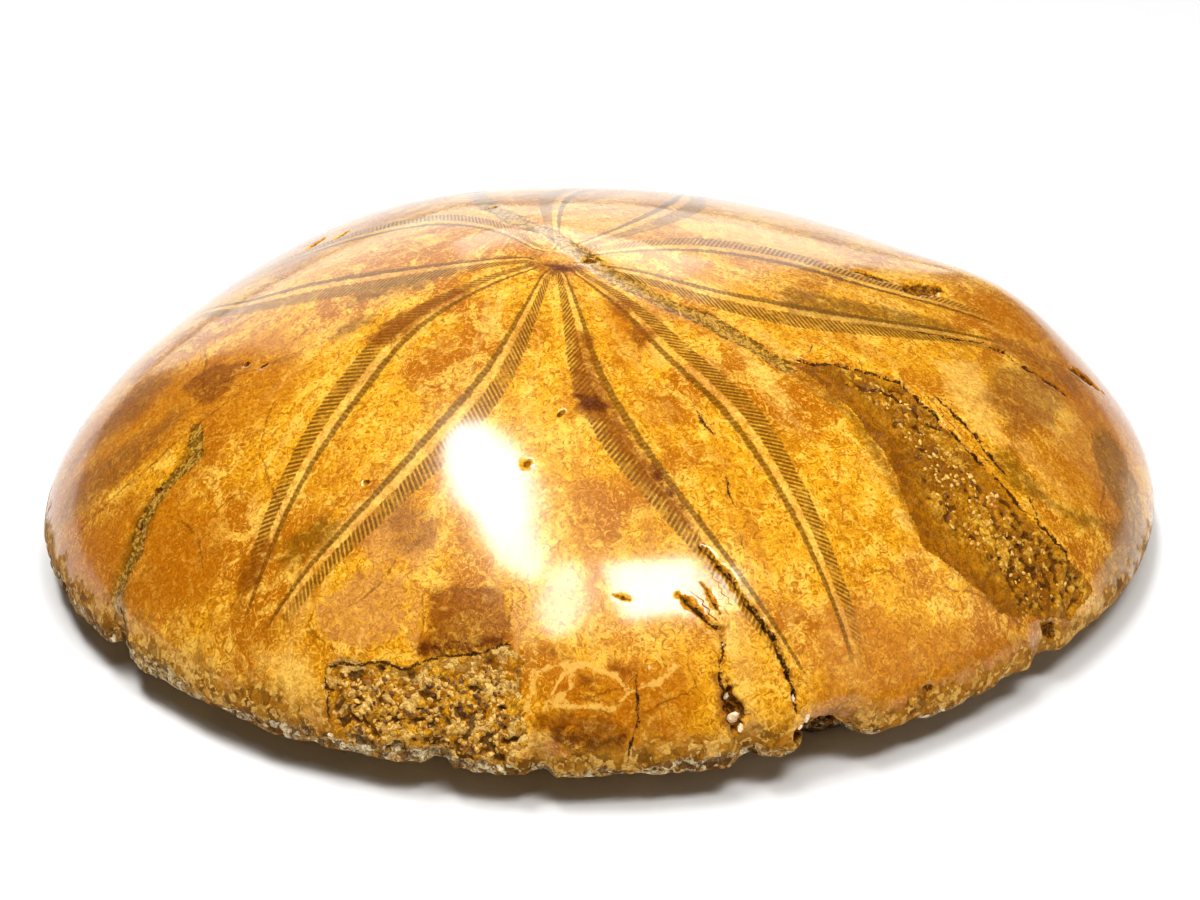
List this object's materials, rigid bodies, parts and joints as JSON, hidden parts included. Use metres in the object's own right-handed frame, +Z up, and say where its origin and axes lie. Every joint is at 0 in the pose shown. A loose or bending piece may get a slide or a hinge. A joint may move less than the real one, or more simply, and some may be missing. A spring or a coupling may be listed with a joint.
{
  "type": "fossil sea urchin",
  "caption": "Petrified sea urchin shell: a low polished dome with petal-shaped pore rows meeting at its top, a rough rim and a hollowed underside; it lies flat as a desk or shelf specimen.",
  "frame": {"origin": "middle of the bounding box in plan, at the level that the fossil rests on", "axes": "+Z up through the dome, -Y towards the side that shows the shortest gap from the top to the rim, +X towards the side with the sediment patch"},
  "size_m": [0.0872, 0.0792, 0.0264],
  "materials": {
    "polished_calcite": "polished honey-orange calcite, with an unpolished grey-beige rim and underside"
  },
  "bodies": {
    "root": {"fossil_sea_urchin": "polished_calcite"}
  },
  "joints": []
}
